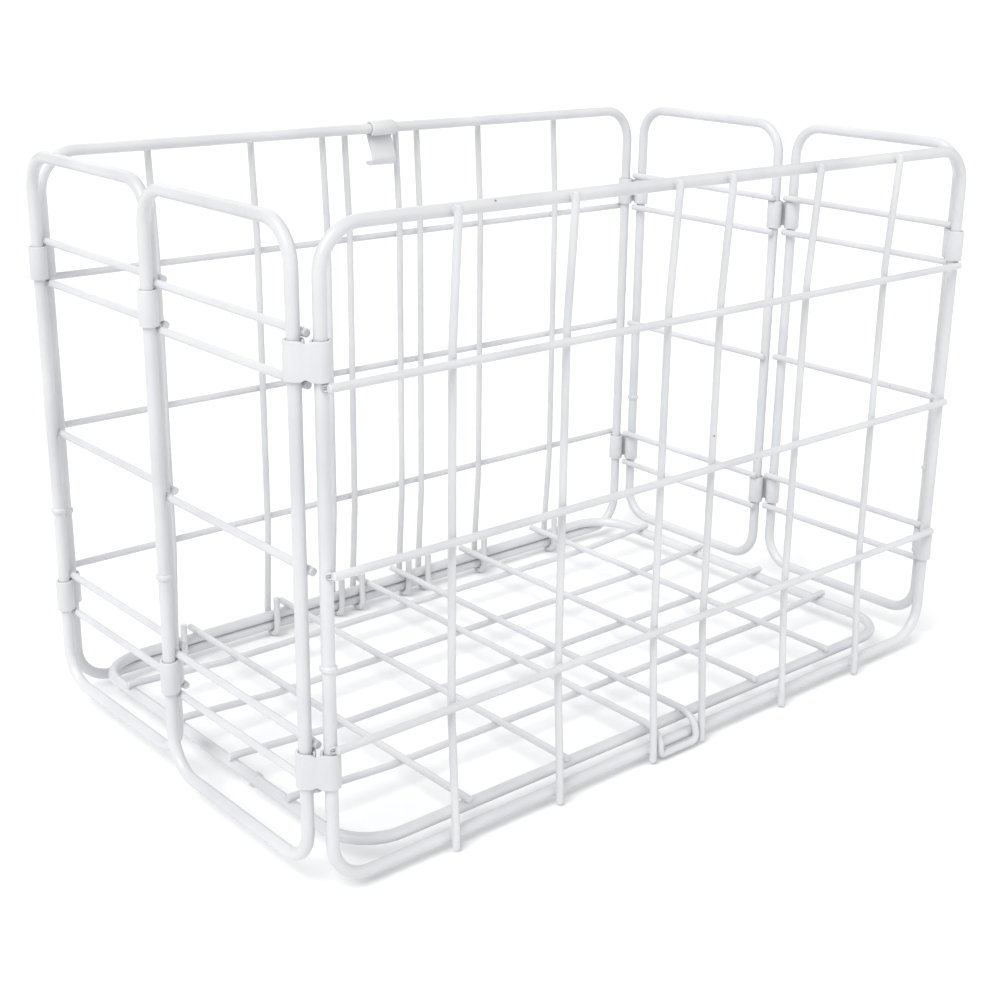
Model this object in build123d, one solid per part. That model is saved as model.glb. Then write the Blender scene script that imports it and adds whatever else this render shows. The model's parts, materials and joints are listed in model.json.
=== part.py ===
# Folding wire basket: seven welded wire panels joined by rolled sheet clips.
# X runs along the length, Y from front to back, Z up. Z = 0 is the surface that
# the basket stands on, and X = Y = 0 is the middle of its plan.
import os
from math import atan2, cos, degrees, radians, sin, sqrt

from build123d import *

# ---------------------------------------------------------------- stock
rod_diameter = 6.0            # frame rod of every panel
wire_diameter = 3.8           # infill wire
clip_sheet = 1.5              # strip that the clips are rolled from
hook_sheet = 1.5              # strip that the closing hook is bent from
wire_end_round = 0.6          # cut ends are rounded over by the coating

# ---------------------------------------------------------------- fits
weld_bite = 0.15              # how far two welded wires are pressed together
running_clearance = 0.1       # radial, between a rolled barrel and its rod
free_gap = 0.3                # between pieces that pass without touching

# ---------------------------------------------------------------- long panels
back_width = 420.0            # centre to centre of the side rods
side_step = 7.0               # front panel's side rod stands this much further out
panel_height = 295.0          # centre to centre of top and bottom rods
panel_corner = 20.0           # bend radius of the rod's centre line
centre_pair = 37.0            # between the two middle uprights
hinge_pair = 15.8             # from a middle upright to the extra one beside it
upright_top = 2.5             # upright's end above the top rod's centre
upright_foot = 5.5            # front upright's end below the bottom rod's centre
upright_bays = 3              # bays from a middle upright to the side rod
knee_reach = 6.0              # from a crossing to the knee where a wire bows
bow_radius = 60.0             # bend of a wire where it bows from layer to layer

# ---------------------------------------------------------------- end panels
end_width = 118.0             # centre to centre of one half panel's rods
end_lift = 8.5                # end panel's bottom rod above the front's
end_rise = 1.0                # end panel's top rod above the front's
end_corner = 18.0
rung_overhang = 3.0           # rung's end beyond the rod's centre

# ---------------------------------------------------------------- clips
barrel_gap = 1.8              # between a clip's two barrels
clip_height = 17.0
upper_clip = 54.0             # middle of the clip below the front's top rod
lower_clip = 58.0             # middle of the clip above the front's bottom rod
clip_wrap = 285.0             # degrees that each end is rolled

# ---------------------------------------------------------------- floor
floor_side_gap = 11.0         # from the back's side rod to the floor's
floor_front_gap = 8.0         # from the front panel to the floor's front rod
floor_corner = 26.0
cross_pitch = 63.6            # between the outer cross wires
rear_bay = 41.6               # from the last long wire to the floor's rear rod
long_count = 4
cross_count = 2               # outer cross wires on each side
long_overhang = 3.0           # long wire's end beyond the side rod's centre
cross_rear_overhang = 7.0
cross_front_overhang = 4.0
loop_side_gap = 1.2           # from the latch loop to the upright on each side
loop_drop = 3.2               # loop's lowest wire below the front's bottom rod
loop_top_bend = 11.0          # rests over the front's bottom rod
loop_corner_bend = 3.0
hinge_hook_height = 19.5      # tip of a hinge hook above the back's bottom rod

# ---------------------------------------------------------------- closing hook
hook_width = 17.0
hook_place = 4.5              # along X on the back's top rod
hook_wrap = 265.0
hook_arm = 22.5
hook_lip = 10.5
hook_tilt = 15.0              # the arm leans inwards as it hangs
hook_lip_rise = 20.0
hook_bend = 3.5

# ---------------------------------------------------------------- derived
rod_r = rod_diameter / 2
wire_r = wire_diameter / 2
outer_layer = rod_r + wire_r - weld_bite               # wire welded on a rod
inner_layer = outer_layer - wire_diameter + weld_bite  # wire welded under it
barrel_bore = rod_r + running_clearance
clip_pitch = 2 * (barrel_bore + clip_sheet) + barrel_gap
turning_reach = rod_r + wire_r + free_gap              # loose wire beside a rod
rail_z = turning_reach + wire_r                        # bottom rods' centre
end_rail_z = rail_z + end_lift
end_height = panel_height + end_rise - end_lift
front_width = back_width + 2 * side_step
corner_step = clip_pitch / sqrt(2)
middle_step = sqrt(clip_pitch ** 2 - side_step ** 2)   # between the end's two halves
depth = 2 * end_width + 2 * corner_step + middle_step
back_y = (depth + turning_reach - outer_layer) / 2     # outermost wires are level
front_y = back_y - depth
rear_half_x = back_width / 2 + corner_step
front_half_x = front_width / 2 + corner_step
rear_half_y = (back_y - corner_step - end_width, back_y - corner_step)
front_half_y = (front_y + corner_step, front_y + corner_step + end_width)
clip_levels = {"upper": rail_z + panel_height - upper_clip, "lower": rail_z + lower_clip}
clip_edge = clip_height / 2 + free_gap + wire_r
middle_level = (clip_levels["upper"] + clip_levels["lower"]) / 2
rail_levels = [clip_levels["lower"] + clip_edge, middle_level, clip_levels["upper"] - clip_edge]
lowest_rung = clip_levels["lower"] - clip_edge
highest_rung = clip_levels["upper"] + clip_edge
rung_levels = [lowest_rung, *rail_levels, highest_rung]
floor_z = rail_z + rod_diameter + free_gap
floor_width = back_width - 2 * floor_side_gap
floor_front_y = front_y + floor_front_gap
floor_rear_y = back_y + outer_layer - turning_reach    # the floor turns about this rod
floor_depth = floor_rear_y - floor_front_y
hinge_room = floor_z - rail_z + turning_reach          # straight wire beside both rods
long_pitch = (floor_depth - rear_bay) / long_count
loop_x = centre_pair / 2 - wire_diameter - loop_side_gap
same_place = 0.01                                      # to match a wire's rim to its end

parts = {}


def bar(path, diameter):
    """Round bar along a path."""
    return sweep(Plane(path @ 0, z_dir=path % 0) * Circle(diameter / 2), path=path)


def wire(path):
    """Infill wire with both cut ends rounded over."""
    plain = bar(path, wire_diameter)
    ends = [path @ 0, path @ 1]
    rims = [edge for edge in plain.edges().filter_by(GeomType.CIRCLE)
            if min((edge.arc_center - end).length for end in ends) < same_place]
    return fillet(rims, wire_end_round)


def rod_loop(width, height, corner, plane):
    """Closed rod with four bent corners, centred on a plane."""
    outline = (plane * RectangleRounded(width, height, corner)).wire()
    return bar(outline, rod_diameter)


def bowed_points(start, first_knee, last_knee, end, start_bow, end_bow):
    """Heights and layers of a wire that dips under the wires that cross it."""
    return [
        (start, outer_layer),
        (start_bow, outer_layer),
        (first_knee, inner_layer),
        (last_knee, inner_layer),
        (end_bow, outer_layer),
        (end, outer_layer),
    ]


def upright_line(x, face_y, outward, foot, low_bow):
    """Upright: outside the top and bottom rods, inside the rails between them."""
    rod_top = rail_z + panel_height
    profile = bowed_points(
        rod_top + upright_top,
        rail_levels[-1] + knee_reach,
        rail_levels[0] - knee_reach,
        foot,
        rod_top - rod_r,
        low_bow,
    )
    points = [(x, face_y + outward * layer, z) for z, layer in profile]
    return FilletPolyline(*points, radius=bow_radius)


def hinge_hook_line(x):
    """Back upright that curls under both rear rods and rises inside the floor."""
    down = upright_line(x, back_y, 1, rail_z, rail_z + hinge_room)
    outer_point = (x, floor_rear_y + turning_reach, rail_z)
    inner_y = floor_rear_y - turning_reach
    lowest = (x, floor_rear_y, rail_z - turning_reach)
    curl = ThreePointArc(outer_point, lowest, (x, inner_y, rail_z))
    rise = Line((x, inner_y, rail_z), (x, inner_y, rail_z + hinge_hook_height))
    return Wire([*down.edges(), *curl.edges(), *rise.edges()])


def rail_line(width, face_y, outward, z):
    """Straight rail welded on the outer side of a panel's two side rods."""
    y = face_y + outward * outer_layer
    return Line((-width / 2, y, z), (width / 2, y, z))


def spread(width):
    """Places of one half of a panel's uprights, in equal bays to the side rod."""
    bay = (width - centre_pair) / 2 / upright_bays
    return [centre_pair / 2 + bay * step for step in range(upright_bays)]


def both_sides(places):
    """The same places on both halves, in order from left to right."""
    return sorted([-place for place in places] + list(places))


def clip(rod_a, rod_b, z):
    """Strip rolled round two rods. Its flat web lies on the left of rod_a to rod_b."""
    along = Vector(*rod_b, 0) - Vector(*rod_a, 0)
    middle = (Vector(*rod_a, z) + Vector(*rod_b, z)) / 2
    plane = Plane(middle, x_dir=along, z_dir=(0, 0, 1))
    roll = barrel_bore + clip_sheet / 2
    first = CenterArc((-clip_pitch / 2, 0), roll, 90 + clip_wrap, -clip_wrap)
    web = Line((-clip_pitch / 2, roll), (clip_pitch / 2, roll))
    last = CenterArc((clip_pitch / 2, 0), roll, 90, -clip_wrap)
    path = plane * Wire([*first.edges(), *web.edges(), *last.edges()])
    section = Plane(path @ 0, x_dir=(0, 0, 1), z_dir=path % 0) * Rectangle(clip_height, clip_sheet)
    return sweep(section, path=path)


def closing_hook():
    """Hook that turns on the back's top rod and hangs below it."""
    pivot = Vector(hook_place, back_y, rail_z + panel_height)
    plane = Plane(pivot, x_dir=(0, 1, 0), z_dir=(1, 0, 0))
    roll = barrel_bore + hook_sheet / 2
    lean = radians(hook_tilt)
    rise = radians(hook_lip_rise)
    leave = Vector(roll * cos(lean), -roll * sin(lean))
    heel = leave + Vector(-sin(lean), -cos(lean)) * hook_arm
    tip = heel + Vector(cos(rise), sin(rise)) * hook_lip
    barrel = CenterArc((0, 0), roll, hook_wrap - hook_tilt, -hook_wrap)
    arm = FilletPolyline(leave, heel, tip, radius=hook_bend)
    path = plane * Wire([*barrel.edges(), *arm.edges()])
    section = Plane(path @ 0, x_dir=(1, 0, 0), z_dir=path % 0) * Rectangle(hook_width, hook_sheet)
    hook = sweep(section, path=path)
    hang = hook.center(CenterOf.MASS) - pivot
    swing = degrees(atan2(hang.Y, -hang.Z))
    return hook.rotate(Axis(pivot, (1, 0, 0)), -swing)


# ---------------------------------------------------------------- long panels
for name, width, face_y in (("front", front_width, front_y), ("back", back_width, back_y)):
    outward = 1 if face_y > 0 else -1
    middle = Plane((0, face_y, rail_z + panel_height / 2), x_dir=(1, 0, 0), z_dir=(0, -1, 0))
    parts[f"{name}_frame"] = rod_loop(width, panel_height, panel_corner, middle)
    for level, z in zip(("lower", "middle", "upper"), rail_levels):
        parts[f"{name}_rail_{level}"] = wire(rail_line(width, face_y, outward, z))

for number, x in enumerate(both_sides(spread(front_width)), 1):
    line = upright_line(x, front_y, -1, rail_z - upright_foot, rail_z + rod_r)
    parts[f"front_upright_{number}"] = wire(line)

back_places = spread(back_width) + [centre_pair / 2 + hinge_pair]
for number, x in enumerate(both_sides(back_places), 1):
    parts[f"back_upright_{number}"] = wire(hinge_hook_line(x))

# ---------------------------------------------------------------- end panels
end_middle_z = end_rail_z + end_height / 2
for side, hand in (("left", -1), ("right", 1)):
    halves = (("rear", rear_half_x, rear_half_y), ("front", front_half_x, front_half_y))
    for half, half_x, (near_y, far_y) in halves:
        x = hand * half_x
        middle = Plane((x, (near_y + far_y) / 2, end_middle_z), x_dir=(0, 1, 0), z_dir=(1, 0, 0))
        parts[f"{side}_{half}_frame"] = rod_loop(end_width, end_height, end_corner, middle)
        rung_x = hand * (half_x - outer_layer)
        ends = (near_y - rung_overhang, far_y + rung_overhang)
        rungs = [wire(Line((rung_x, ends[0], z), (rung_x, ends[1], z))) for z in rung_levels]
        parts[f"{side}_{half}_rungs"] = Compound(children=rungs)

# ---------------------------------------------------------------- clips
rods_left = {
    "rear": ((-rear_half_x, rear_half_y[1]), (-back_width / 2, back_y)),
    "middle": ((-front_half_x, front_half_y[1]), (-rear_half_x, rear_half_y[0])),
    "front": ((-front_width / 2, front_y), (-front_half_x, front_half_y[0])),
}
for place, (rod_a, rod_b) in rods_left.items():
    for level, z in clip_levels.items():
        parts[f"left_{place}_clip_{level}"] = clip(rod_a, rod_b, z)
        mirror_a, mirror_b = (-rod_b[0], rod_b[1]), (-rod_a[0], rod_a[1])
        parts[f"right_{place}_clip_{level}"] = clip(mirror_a, mirror_b, z)

# ---------------------------------------------------------------- floor
floor_middle = Plane((0, (floor_rear_y + floor_front_y) / 2, floor_z))
parts["floor_frame"] = rod_loop(floor_width, floor_depth, floor_corner, floor_middle)

side_x = floor_width / 2
cross_places = [side_x - cross_pitch * step for step in range(1, cross_count + 1)]
last_knee = max(cross_places) + knee_reach
long_profile = bowed_points(
    side_x + long_overhang,
    last_knee,
    -last_knee,
    -side_x - long_overhang,
    side_x - rod_r,
    -side_x + rod_r,
)
for number in range(1, long_count + 1):
    y = floor_front_y + long_pitch * number
    points = [(x, y, floor_z + layer) for x, layer in long_profile]
    parts[f"floor_long_wire_{number}"] = wire(FilletPolyline(*points, radius=bow_radius))

cross_z = floor_z + outer_layer
rear_tip_y = floor_rear_y + cross_rear_overhang
for number, x in enumerate(both_sides(cross_places), 1):
    front_tip = (x, floor_front_y - cross_front_overhang, cross_z)
    parts[f"floor_cross_wire_{number}"] = wire(Line(front_tip, (x, rear_tip_y, cross_z)))

loop_y = front_y - turning_reach
loop_z = rail_z - loop_drop
loop_points = [
    (-loop_x, rear_tip_y, cross_z),
    (-loop_x, loop_y, cross_z),
    (-loop_x, loop_y, loop_z),
    (loop_x, loop_y, loop_z),
    (loop_x, loop_y, cross_z),
    (loop_x, rear_tip_y, cross_z),
]
loop_bends = [loop_top_bend, loop_corner_bend, loop_corner_bend, loop_top_bend]
parts["floor_latch_wire"] = wire(FilletPolyline(*loop_points, radius=loop_bends))

parts["closing_hook"] = closing_hook()

os.makedirs("parts", exist_ok=True)
for name, shape in parts.items():
    export_step(shape, f"parts/{name}.step")
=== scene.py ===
import json
import math
import random

import bmesh
import bpy
from mathutils import Matrix, Vector


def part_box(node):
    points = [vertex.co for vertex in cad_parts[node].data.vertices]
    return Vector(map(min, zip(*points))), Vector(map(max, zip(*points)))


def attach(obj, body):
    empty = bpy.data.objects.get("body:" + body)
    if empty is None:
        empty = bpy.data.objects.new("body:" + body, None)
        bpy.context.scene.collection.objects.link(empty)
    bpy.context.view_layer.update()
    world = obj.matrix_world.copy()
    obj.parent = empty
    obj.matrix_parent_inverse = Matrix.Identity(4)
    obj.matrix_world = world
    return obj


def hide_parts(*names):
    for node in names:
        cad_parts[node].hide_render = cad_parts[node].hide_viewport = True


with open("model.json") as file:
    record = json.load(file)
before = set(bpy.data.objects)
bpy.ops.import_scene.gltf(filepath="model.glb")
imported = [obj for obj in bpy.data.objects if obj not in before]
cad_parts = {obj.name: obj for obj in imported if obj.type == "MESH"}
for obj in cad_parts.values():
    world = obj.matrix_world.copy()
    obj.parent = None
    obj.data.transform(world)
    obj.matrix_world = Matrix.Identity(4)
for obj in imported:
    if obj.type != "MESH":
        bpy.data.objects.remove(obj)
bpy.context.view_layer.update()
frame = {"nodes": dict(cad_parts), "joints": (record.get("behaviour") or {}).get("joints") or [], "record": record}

mm = 0.001
dice = random.Random(11)
print("frame loaded:", len(frame["nodes"]), "nodes")


# ---- places read from the frame

def nodeBox(name):
    low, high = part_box(name)
    return low, high, (low + high) / 2


def jointPlace(name):
    joint = next(j for j in frame["joints"] if j["name"] == name)
    return Vector(joint["pos_m"])


rodRadius = (nodeBox("front_frame")[1].y - nodeBox("front_frame")[0].y) / 2
wireRadius = (nodeBox("front_upright_1")[1].x - nodeBox("front_upright_1")[0].x) / 2


# ---- powder coat

coat = {
    "light": (0.66, 0.67, 0.685, 1),
    "dull": (0.58, 0.592, 0.61, 1),
    "rust": (0.30, 0.12, 0.04, 1),
    # near-black for the barrels' insides: bare steel, darkened further as painted shade in the gap round the rod
    "bareSteelAndShade": (0.045, 0.035, 0.03, 1),
    "patchScale": 22.0,           # slow change of tone along the wires
    "peelScale": 1500.0,          # orange peel, about two thirds of a millimetre
    "grainScale": 5200.0,
    "peelDepth": 0.030 * mm,
    "speckCell": 55.0,            # one possible rust speck in every 18 mm
    "speckSize": 0.020,
}


def addNode(tree, kind, **inputs):
    node = tree.nodes.new(kind)
    for key, value in inputs.items():
        node.inputs[key.replace("_", " ")].default_value = value
    return node


def noise(tree, place, scale, detail, roughness=0.5):
    node = addNode(tree, "ShaderNodeTexNoise", Scale=scale, Detail=detail, Roughness=roughness)
    tree.links.new(place, node.inputs["Vector"])
    return node.outputs["Fac"]


def remap(tree, value, fromLow, fromHigh, toLow, toHigh):
    node = tree.nodes.new("ShaderNodeMapRange")
    node.inputs["From Min"].default_value = fromLow
    node.inputs["From Max"].default_value = fromHigh
    node.inputs["To Min"].default_value = toLow
    node.inputs["To Max"].default_value = toHigh
    tree.links.new(value, node.inputs["Value"])
    return node.outputs["Result"]


def blendColours(tree, share, first, second):
    node = tree.nodes.new("ShaderNodeMix")
    node.data_type = "RGBA"
    tree.links.new(share, node.inputs["Factor"])
    for socket, colour in (("A", first), ("B", second)):
        target = [s for s in node.inputs if s.name == socket and s.type == "RGBA"][0]
        if isinstance(colour, tuple):
            target.default_value = colour
        else:
            tree.links.new(colour, target)
    return [s for s in node.outputs if s.type == "RGBA"][0]


def multiply(tree, first, second):
    node = tree.nodes.new("ShaderNodeMath")
    node.operation = "MULTIPLY"
    tree.links.new(first, node.inputs[0])
    tree.links.new(second, node.inputs[1])
    return node.outputs[0]


def rustSpecks(tree, place):
    # a few tiny round spots where the coat has a pinhole
    cells = addNode(tree, "ShaderNodeTexVoronoi", Scale=coat["speckCell"])
    tree.links.new(place, cells.inputs["Vector"])
    split = tree.nodes.new("ShaderNodeSeparateColor")
    tree.links.new(cells.outputs["Color"], split.inputs["Color"])
    chosen = remap(tree, split.outputs["Red"], 0.90, 0.92, 0.0, 1.0)
    size = coat["speckSize"]
    spot = remap(tree, cells.outputs["Distance"], size, size * 2, 1.0, 0.0)
    return multiply(tree, chosen, spot)


def powderCoat(name, peel=1.0, gloss=0.34, wearAndShade=False):
    material = bpy.data.materials.new(name)
    material.use_nodes = True
    tree = material.node_tree
    shader = tree.nodes["Principled BSDF"]
    place = tree.nodes.new("ShaderNodeTexCoord").outputs["Object"]
    patches = remap(tree, noise(tree, place, coat["patchScale"], 3.0), 0.35, 0.68, 0.0, 1.0)
    colour = blendColours(tree, patches, coat["light"], coat["dull"])
    colour = blendColours(tree, rustSpecks(tree, place), colour, coat["rust"])
    rough = remap(tree, noise(tree, place, coat["patchScale"] * 6, 2.0), 0.3, 0.7, gloss - 0.06, gloss + 0.10)
    # the barrels' insides turn near-black: bare steel plus painted shade where barrel and rod meet, broken up by
    # noise
    if wearAndShade:
        bareAndShade = tree.nodes.new("ShaderNodeAttribute")
        bareAndShade.attribute_name = "bareAndShade"
        tornAndShaded = remap(tree, noise(tree, place, 900.0, 3.0, 0.7), 0.40, 0.56, 0.35, 1.0)
        share = multiply(tree, bareAndShade.outputs["Fac"], tornAndShaded)
        colour = blendColours(tree, share, colour, coat["bareSteelAndShade"])
        rough = remap(tree, share, 0.0, 1.0, gloss, 0.62)
    tree.links.new(colour, shader.inputs["Base Color"])
    tree.links.new(rough, shader.inputs["Roughness"])
    peelNoise = noise(tree, place, coat["peelScale"], 2.0)
    grain = noise(tree, place, coat["grainScale"], 1.0)
    mixHeight = tree.nodes.new("ShaderNodeMath")
    mixHeight.operation = "MULTIPLY_ADD"
    tree.links.new(grain, mixHeight.inputs[0])
    mixHeight.inputs[1].default_value = 0.25
    tree.links.new(peelNoise, mixHeight.inputs[2])
    bump = addNode(tree, "ShaderNodeBump", Strength=0.55, Distance=coat["peelDepth"] * peel)
    tree.links.new(mixHeight.outputs[0], bump.inputs["Height"])
    tree.links.new(bump.outputs["Normal"], shader.inputs["Normal"])
    shader.inputs["IOR"].default_value = 1.5
    shader.inputs["Coat Weight"].default_value = 0.12
    shader.inputs["Coat Roughness"].default_value = 0.18
    return material


finishes = {
    "rod_coat": powderCoat("rodCoat"),
    "wire_coat": powderCoat("wireCoat", peel=0.8, gloss=0.36),
    "clip_coat": powderCoat("clipCoat", peel=1.3, gloss=0.40, wearAndShade=True),
    "hook_coat": powderCoat("hookCoat", peel=1.3, gloss=0.38, wearAndShade=True),
}

slotOfNode = {part["node"]: part["material_slot"] for part in frame["record"]["subparts"]}
for name, node in frame["nodes"].items():
    node.data.materials.clear()
    node.data.materials.append(finishes[slotOfNode[name]])
print("coats made:", len(finishes))


# ---- shared mesh work

def finishMesh(name, shape, body, slot):
    bmesh.ops.recalc_face_normals(shape, faces=shape.faces)
    for face in shape.faces:
        face.smooth = True
    mesh = bpy.data.meshes.new(name)
    shape.to_mesh(mesh)
    shape.free()
    piece = bpy.data.objects.new(name, mesh)
    bpy.context.scene.collection.objects.link(piece)
    mesh.materials.append(finishes[slot])
    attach(piece, body)
    return piece


def joinRings(shape, rings, closed):
    # quads between rows of points; closed joins the last row to the first
    rows = list(zip(rings, rings[1:] + rings[:1])) if closed else list(zip(rings, rings[1:]))
    for first, second in rows:
        for index in range(len(first)):
            after = (index + 1) % len(first)
            shape.faces.new((first[index], first[after], second[after], second[index]))


# ---- weld fillets, where the coat bridges two crossing wires

fillet = {
    "bite": 0.15 * mm,            # how far the two wires are pressed together
    "bridge": 1.05 * mm,          # the gap that the coat still fills
    "waist": 0.74,                # how far the hollow of the fillet draws in
    "shoulder": 0.55,             # height of the bend between waist and rim, as a share of the gap
    "heart": 0.3,                 # reach of the hidden inner edge
    "overlap": 0.12 * mm,         # how far the rims sink into the wires
    "swell": (0.9, 1.12),         # no two welds are quite alike
    "steps": 28,
}


def fitFillet(angle, lowerRadius, upperRadius, spacing):
    # distance from the crossing at which the gap has opened to the bridge
    sine, cosine = max(abs(math.sin(angle)), 0.01), max(abs(math.cos(angle)), 0.01)
    near = 0.0
    far = 0.97 * min(lowerRadius / sine, upperRadius / cosine)
    for _ in range(24):
        middle = (near + far) / 2
        low = math.sqrt(lowerRadius ** 2 - (middle * math.sin(angle)) ** 2)
        high = spacing - math.sqrt(upperRadius ** 2 - (middle * math.cos(angle)) ** 2)
        if high - low < fillet["bridge"]:
            near = middle
        else:
            far = middle
    return near, low, high


def weldFillet(shape, place, along, across, normal, lowerRadius, upperRadius):
    # place is on the lower wire's axis; normal points to the upper wire
    spacing = lowerRadius + upperRadius - fillet["bite"]
    swell = dice.uniform(*fillet["swell"])
    sink, heart = fillet["overlap"], fillet["heart"]
    rings = []
    for step in range(fillet["steps"]):
        angle = 2 * math.pi * step / fillet["steps"]
        reach, low, high = fitFillet(angle, lowerRadius, upperRadius, spacing)
        outward = along * math.cos(angle) + across * math.sin(angle)
        middle = (low + high) / 2
        rise = (high - low) / 2
        bend = rise * fillet["shoulder"]
        profile = [
            (1.0, low - sink),
            (0.5 + fillet["waist"] / 2, middle - bend),
            (fillet["waist"] * swell, middle),
            (0.5 + fillet["waist"] / 2, middle + bend),
            (1.0, high + sink),
            (heart, middle),
        ]
        rings.append([
            shape.verts.new(place + outward * reach * share + normal * height)
            for share, height in profile
        ])
    joinRings(shape, rings, True)


axisX, axisY, axisZ = Vector((1, 0, 0)), Vector((0, 1, 0)), Vector((0, 0, 1))


def longPanelWelds(panel, outward):
    # uprights lie outside the rods and inside the rails
    shape = bmesh.new()
    low, high, middle = nodeBox(panel + "_frame")
    normal = axisY * outward
    uprights = sorted(name for name in frame["nodes"] if name.startswith(panel + "_upright"))
    rails = [panel + "_rail_" + level for level in ("lower", "middle", "upper")]
    for name in uprights:
        x = nodeBox(name)[2].x
        for z in (low.z + rodRadius, high.z - rodRadius):
            weldFillet(shape, Vector((x, middle.y, z)), axisX, axisZ, normal, rodRadius, wireRadius)
    for rail in rails:
        place = nodeBox(rail)[2]
        for name in uprights:
            crossing = Vector((nodeBox(name)[2].x, place.y, place.z))
            weldFillet(shape, crossing, axisX, axisZ, -normal, wireRadius, wireRadius)
        for x in (low.x + rodRadius, high.x - rodRadius):
            side = Vector((x, middle.y, place.z))
            weldFillet(shape, side, axisZ, axisX, normal, rodRadius, wireRadius)
    return finishMesh(panel + "_weld_fillets", shape, panel, "wire_coat")


def endPanelWelds(side, half, hand):
    shape = bmesh.new()
    low, high, middle = nodeBox(side + "_" + half + "_frame")
    rungs = frame["nodes"][side + "_" + half + "_rungs"].data
    step = 4 * mm                 # heights this close belong to one rung
    heights = sorted({round(v.co.z / step) for v in rungs.vertices})
    groups = []
    for height in heights:
        if groups and height - groups[-1][-1] <= 1:
            groups[-1].append(height)
        else:
            groups.append([height])
    for group in groups:
        levels = [v.co.z for v in rungs.vertices if group[0] <= round(v.co.z / step) <= group[-1]]
        z = (min(levels) + max(levels)) / 2
        for y in (low.y + rodRadius, high.y - rodRadius):
            weldFillet(shape, Vector((middle.x, y, z)), axisZ, axisY, axisX * -hand, rodRadius, wireRadius)
    return finishMesh(side + "_" + half + "_weld_fillets", shape, side + "_" + half + "_wall", "wire_coat")


def floorWelds():
    shape = bmesh.new()
    low, high, middle = nodeBox("floor_frame")
    crossWires = sorted(name for name in frame["nodes"] if name.startswith("floor_cross_wire"))
    crossPlaces = [nodeBox(name)[2].x for name in crossWires]
    latchLow, latchHigh = nodeBox("floor_latch_wire")[:2]
    crossPlaces += [latchLow.x + wireRadius, latchHigh.x - wireRadius]
    crossHeight = nodeBox(crossWires[0])[2].z
    for x in crossPlaces:
        for y in (low.y + rodRadius, high.y - rodRadius):
            weldFillet(shape, Vector((x, y, middle.z)), axisX, axisY, axisZ, rodRadius, wireRadius)
    for name in sorted(n for n in frame["nodes"] if n.startswith("floor_long_wire")):
        y = nodeBox(name)[2].y
        for x in crossPlaces:
            weldFillet(shape, Vector((x, y, crossHeight)), axisY, axisX, -axisZ, wireRadius, wireRadius)
        for x in (low.x + rodRadius, high.x - rodRadius):
            weldFillet(shape, Vector((x, y, middle.z)), axisY, axisX, axisZ, rodRadius, wireRadius)
    return finishMesh("floor_weld_fillets", shape, "floor", "wire_coat")


longPanelWelds("front", -1)
longPanelWelds("back", 1)
floorWelds()
for sideName, hand in (("left", -1), ("right", 1)):
    for halfName in ("rear", "front"):
        endPanelWelds(sideName, halfName, hand)
print("weld fillets made")


# ---- butt welds, the upset ring where each frame rod's two ends meet

buttWeld = {
    # along the rod and out from its surface, in millimetres
    "profile": [(-1.7, -0.15), (-1.35, 0.10), (-1.0, 0.62), (-0.55, 0.98), (-0.1, 0.80),
                (0.3, 0.86), (0.75, 1.02), (1.15, 0.60), (1.5, 0.12), (1.8, -0.15)],
    "core": 1.2 * mm,             # the ring's hidden inside, below the rod's surface
    "steps": 36,
    "places": {                   # body, which side rod, and how far up it as a share of its height
        "front_frame": ("front", "low", 0.363),
        "back_frame": ("back", "low", 0.352),
        "left_rear_frame": ("left_rear_wall", "high", 0.345),
        "left_front_frame": ("left_front_wall", "high", 0.357),
        "right_rear_frame": ("right_rear_wall", "high", 0.305),
        "right_front_frame": ("right_front_wall", "low", 0.335),
    },
    "floorShare": 0.34,           # the floor's ring, from the front along its left rod
}


def weldRing(shape, centre, axis, first, second):
    lean = dice.uniform(0, 2 * math.pi)
    rings = []
    for step in range(buttWeld["steps"]):
        angle = 2 * math.pi * step / buttWeld["steps"]
        outward = first * math.cos(angle) + second * math.sin(angle)
        swell = 1 + 0.10 * math.sin(angle * 2 + lean) + 0.05 * math.sin(angle * 5 + lean * 3)
        slant = 0.12 * mm * math.sin(angle + lean)
        ring = [
            shape.verts.new(centre + axis * (offset * mm + slant) + outward * (rodRadius + lift * mm * swell))
            for offset, lift in buttWeld["profile"]
        ]
        ring.append(shape.verts.new(centre + outward * (rodRadius - buttWeld["core"])))
        rings.append(ring)
    joinRings(shape, rings, True)


for nodeName, (bodyName, end, share) in buttWeld["places"].items():
    low, high, middle = nodeBox(nodeName)
    corner = low if end == "low" else high
    inset = rodRadius if end == "low" else -rodRadius
    centre = Vector((middle.x, middle.y, low.z + (high.z - low.z) * share))
    if high.x - low.x > high.y - low.y:
        centre.x = corner.x + inset
    else:
        centre.y = corner.y + inset
    shape = bmesh.new()
    weldRing(shape, centre, axisZ, axisX, axisY)
    finishMesh(nodeName + "_butt_weld", shape, bodyName, "rod_coat")

low, high, middle = nodeBox("floor_frame")
shape = bmesh.new()
centre = Vector((low.x + rodRadius, low.y + (high.y - low.y) * buttWeld["floorShare"], middle.z))
weldRing(shape, centre, axisY, axisZ, axisX)
finishMesh("floor_frame_butt_weld", shape, "floor", "rod_coat")
print("butt welds made")


# ---- rolled strip, for the clips and the closing hook

strip = {
    "sheet": 1.5 * mm,
    "bore": rodRadius + 0.1 * mm,
    "edge": 0.5 * mm,             # the coat rounds the strip's cut edges
    "edgeSteps": 3,
}


def stripSection(halfWidth, thickness):
    # rounded rectangle: first value across the sheet, second along its width
    half, radius = thickness / 2, strip["edge"]
    corners = ((1, 1), (-1, 1), (-1, -1), (1, -1))
    points = []
    for number, (signT, signW) in enumerate(corners):
        for step in range(strip["edgeSteps"] + 1):
            angle = math.pi / 2 * (number + step / strip["edgeSteps"])
            points.append((
                signT * (half - radius) + radius * math.cos(angle),
                signW * (halfWidth - radius) + radius * math.sin(angle),
            ))
    return points


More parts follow.
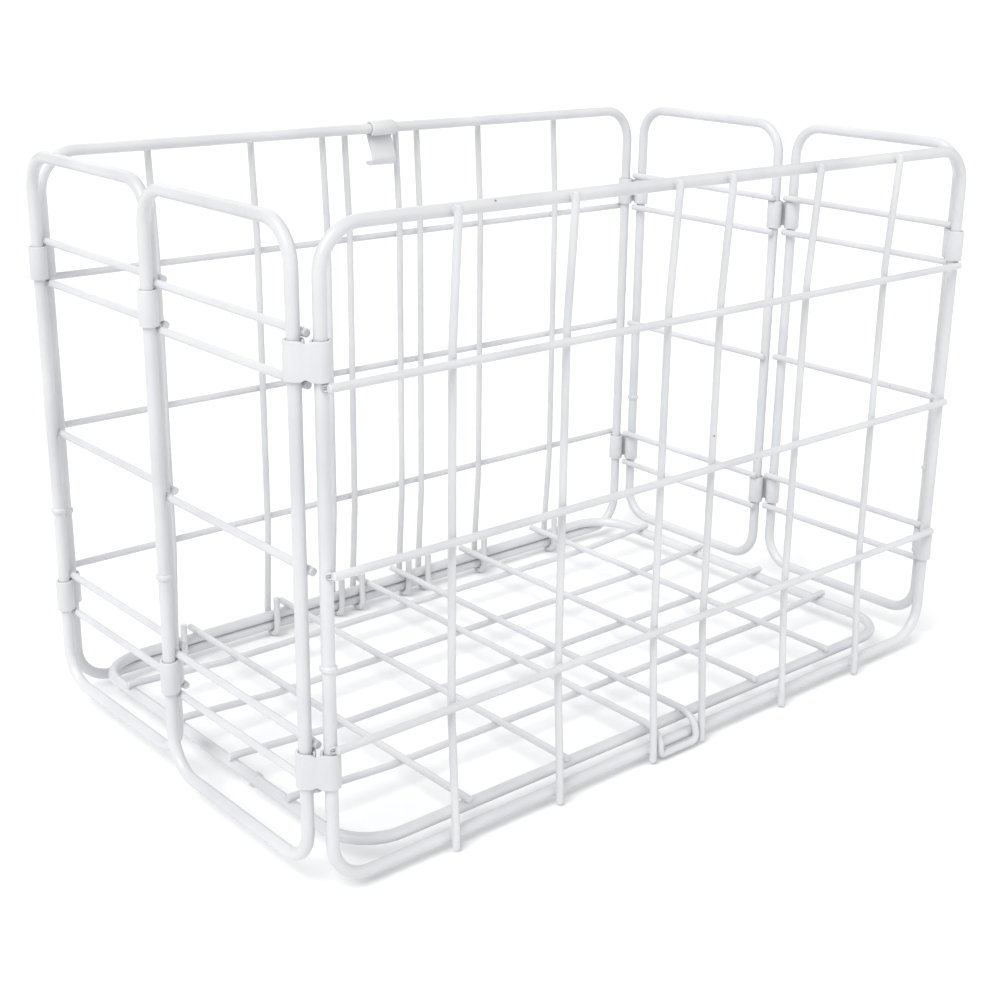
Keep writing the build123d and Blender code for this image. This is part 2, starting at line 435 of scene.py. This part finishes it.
def sweepStrip(shape, stations, widthAxis, bareAndShadeSide):
    # each station is a point, the sheet's outer direction and half the strip's width there
    # this mask marks the strip's inner face, which is coloured as bare steel with painted shade
    bareAndShadeLayer = shape.verts.layers.float.new("bareAndShade")
    rings = []
    for point, outer, halfWidth in stations:
        ring = []
        for across, along in stripSection(halfWidth, strip["sheet"]):
            vert = shape.verts.new(point + outer * across + widthAxis * along)
            vert[bareAndShadeLayer] = 1.0 if across * bareAndShadeSide > strip["sheet"] * 0.45 else 0.0
            ring.append(vert)
        rings.append(ring)
    joinRings(shape, rings, False)
    shape.faces.new(rings[0])
    shape.faces.new(rings[-1])


def arcStations(centre, first, second, start, turn, radius, halfWidth, steps):
    # points round a barrel, from start through turn, both in degrees
    stations = []
    for step in range(steps + 1):
        angle = math.radians(start + turn * step / steps)
        outer = first * math.cos(angle) + second * math.sin(angle)
        stations.append((centre + outer * radius, outer, halfWidth))
    return stations


clip = {
    "halfHeight": 8.5 * mm,
    "wrap": 285.0,
    "barrelSteps": 44,
    "webSteps": 12,
    "notchDepth": 1.2 * mm,       # the web's edges dip between the barrels
    "notchSpread": 1.5 * mm,
    "webSink": 0.12 * mm,         # the web is pressed in a little at its middle
}


def rolledClip(nodeName, body, rodA, rodB, hand):
    # the web joins the two barrels on the basket's outside; hand is 1 on the left end and -1 on the right
    z = nodeBox(nodeName)[2].z
    placeA, placeB = Vector((rodA.x, rodA.y, z)), Vector((rodB.x, rodB.y, z))
    along = (placeB - placeA).normalized()
    outer = Vector((-along.y, along.x, 0)) * hand
    roll = strip["bore"] + strip["sheet"] / 2
    half = clip["halfHeight"]
    steps = clip["barrelSteps"]
    stations = arcStations(placeA, along, outer, 90 + clip["wrap"], -clip["wrap"], roll, half, steps)
    pitch = (placeB - placeA).length
    for step in range(1, clip["webSteps"]):
        share = step / clip["webSteps"]
        offCentre = (share - 0.5) * pitch
        dip = clip["notchDepth"] * math.exp(-(offCentre / clip["notchSpread"]) ** 2)
        sink = clip["webSink"] * math.sin(math.pi * share)
        point = placeA + along * pitch * share + outer * (roll - sink)
        stations.append((point, outer, half - dip))
    stations += arcStations(placeB, along, outer, 90, -clip["wrap"], roll, half, steps)
    shape = bmesh.new()
    sweepStrip(shape, stations, axisZ, -1)
    bareAndShadeLayer = shape.verts.layers.float["bareAndShade"]
    for vert in shape.verts:      # the web's inner face is coated; only the barrels' insides get the bare steel and painted shade
        flat = Vector((vert.co.x, vert.co.y, 0))
        nearest = min((flat - Vector((rod.x, rod.y, 0))).length for rod in (placeA, placeB))
        if nearest > strip["bore"] * 1.15:
            vert[bareAndShadeLayer] = 0.0
    piece = finishMesh(nodeName + "_rolled", shape, body, "clip_coat")
    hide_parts(nodeName)
    return piece


for sideName, hand in (("left", 1), ("right", -1)):
    frontBox = nodeBox("front_frame")
    frontX = frontBox[0].x + rodRadius if sideName == "left" else frontBox[1].x - rodRadius
    rods = {
        "rear": (jointPlace(sideName + "_rear_wall_turn"), jointPlace(sideName + "_rear_clip_turn")),
        "middle": (jointPlace(sideName + "_front_wall_turn"), jointPlace(sideName + "_middle_clip_turn")),
        "front": (Vector((frontX, frontBox[2].y, 0)), jointPlace(sideName + "_front_clip_turn")),
    }
    for placeName, (rodA, rodB) in rods.items():
        for level in ("upper", "lower"):
            nodeName = sideName + "_" + placeName + "_clip_" + level
            rolledClip(nodeName, sideName + "_" + placeName + "_clips", rodA, rodB, hand)
print("clips rolled")


# ---- closing hook

hook = {
    "halfWidth": 8.5 * mm,
    "wrap": 265.0,
    "tilt": 15.0,                 # the arm's lean before it hangs, in degrees
    "hang": -7.909,               # turn that brings its weight under the rod
    "arm": 22.5 * mm,
    "lip": 10.5 * mm,
    "lipRise": 20.0,
    "bend": 3.5 * mm,
    "cornerRound": 2.2 * mm,      # the lip's two outer corners
}


def closingHook():
    pivot = jointPlace("hook_swing")
    pivot.x = nodeBox("closing_hook")[2].x
    turn = Matrix.Rotation(math.radians(hook["hang"]), 3, "X")
    inward, upward = turn @ axisY, turn @ axisZ
    roll = strip["bore"] + strip["sheet"] / 2
    lean, rise = math.radians(hook["tilt"]), math.radians(hook["lipRise"])
    half = hook["halfWidth"]
    stations = arcStations(pivot, inward, upward, hook["wrap"] - hook["tilt"], -hook["wrap"], roll, half, 40)
    armWay = Vector((-math.sin(lean), -math.cos(lean)))
    lipWay = Vector((math.cos(rise), math.sin(rise)))
    leave = Vector((roll * math.cos(lean), -roll * math.sin(lean)))
    heel = leave + armWay * hook["arm"]
    corner = math.pi - math.acos(max(-1, min(1, (-armWay).dot(lipWay))))
    setBack = hook["bend"] * math.tan(corner / 2)
    path = []                     # points and outer directions in the hook's own plane
    armOuter = Vector((-armWay.y, armWay.x))
    lipOuter = Vector((-lipWay.y, lipWay.x))
    if armOuter.dot(lipWay) > 0:
        armOuter, lipOuter = -armOuter, -lipOuter
    armEnd, lipStart = heel - armWay * setBack, heel + lipWay * setBack
    for step in range(1, 11):
        path.append((leave.lerp(armEnd, step / 10), armOuter, half))
    centre = armEnd - armOuter * hook["bend"]
    spin = 1 if armOuter.x * lipOuter.y - armOuter.y * lipOuter.x > 0 else -1
    for step in range(1, 9):
        share = step / 9
        angle = corner * share
        cosine, sine = math.cos(angle * spin), math.sin(angle * spin)
        way = Vector((armOuter.x * cosine - armOuter.y * sine, armOuter.x * sine + armOuter.y * cosine))
        path.append((centre + way * hook["bend"], way, half))
    tip = heel + lipWay * hook["lip"]
    lipLength = (tip - lipStart).length
    for step in range(13):
        reach = lipLength * step / 12
        toTip = max(0.0, hook["cornerRound"] - (lipLength - reach))
        trim = hook["cornerRound"] - math.sqrt(max(0.0, hook["cornerRound"] ** 2 - toTip ** 2))
        path.append((lipStart + lipWay * reach, lipOuter, half - trim * 0.9))
    # the barrel's outer side carries on as the arm's outer side
    flip = 1 if armOuter.dot(leave) > 0 else -1
    for point, way, width in path:
        place = pivot + inward * point.x + upward * point.y
        stations.append((place, (inward * way.x + upward * way.y) * flip, width))
    shape = bmesh.new()
    sweepStrip(shape, stations, axisX, -1)
    bareAndShadeLayer = shape.verts.layers.float["bareAndShade"]
    # only the barrel's inside keeps the bare steel and painted shade mask
    for vert in shape.verts:
        if (Vector((0, vert.co.y, vert.co.z)) - Vector((0, pivot.y, pivot.z))).length > roll:
            vert[bareAndShadeLayer] = 0.0
    piece = finishMesh("closing_hook_bent", shape, "hook", "hook_coat")
    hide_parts("closing_hook")
    return piece


closingHook()
print("closing hook bent")


# ---- floor, light and camera

studio = {
    "floorTone": (0.93, 0.93, 0.935, 1),
    "floorSize": 40.0,
    "worldTone": (1.0, 1.0, 1.0, 1),
    "worldStrength": 0.55,
    "lamps": [                    # where it shines from, how soft in degrees, strength
        ((-1.5, -0.5, 1.9), 40, 2.3),
        ((1.3, -1.9, 1.3), 60, 0.55),
        ((0.7, 1.8, 1.5), 50, 0.5),
    ],
}


def paleFloor():
    mesh = bpy.data.meshes.new("paleFloor")
    shape = bmesh.new()
    bmesh.ops.create_grid(shape, x_segments=2, y_segments=2, size=studio["floorSize"] / 2)
    shape.to_mesh(mesh)
    shape.free()
    floor = bpy.data.objects.new("paleFloor", mesh)
    bpy.context.scene.collection.objects.link(floor)
    floor.location.z = -0.0002
    material = bpy.data.materials.new("floorPaper")
    material.use_nodes = True
    shader = material.node_tree.nodes["Principled BSDF"]
    shader.inputs["Base Color"].default_value = studio["floorTone"]
    shader.inputs["Roughness"].default_value = 0.9
    mesh.materials.append(material)


def softLamp(number, place, softness, strength):
    light = bpy.data.lights.new("softLamp" + str(number), "SUN")
    light.angle = math.radians(softness)
    light.energy = strength
    lamp = bpy.data.objects.new("softLamp" + str(number), light)
    bpy.context.scene.collection.objects.link(lamp)
    lamp.location = place
    lamp.rotation_euler = (-Vector(place)).to_track_quat("-Z", "Y").to_euler()


def studioWorld():
    world = bpy.data.worlds.new("studioWorld")
    world.use_nodes = True
    background = world.node_tree.nodes["Background"]
    background.inputs["Color"].default_value = studio["worldTone"]
    background.inputs["Strength"].default_value = studio["worldStrength"]
    bpy.context.scene.world = world
    bpy.context.scene.view_settings.view_transform = "Standard"


camera = {
    "place": (-0.5630, -0.6437, 0.4069),
    "turn": (71.339, -1.068, -41.505),
    "lens": 57.19,
    "shift": (-0.033, -0.020),
}


def addCamera():
    data = bpy.data.cameras.new("camera")
    data.lens = camera["lens"]
    data.sensor_width = 36.0
    data.shift_x, data.shift_y = camera["shift"]
    data.clip_start = 0.01
    viewer = bpy.data.objects.new("camera", data)
    bpy.context.scene.collection.objects.link(viewer)
    viewer.location = camera["place"]
    viewer.rotation_euler = [math.radians(angle) for angle in camera["turn"]]
    bpy.context.scene.camera = viewer


paleFloor()
for number, (place, softness, strength) in enumerate(studio["lamps"], 1):
    softLamp(number, place, softness, strength)
studioWorld()
addCamera()
print("studio and camera set")
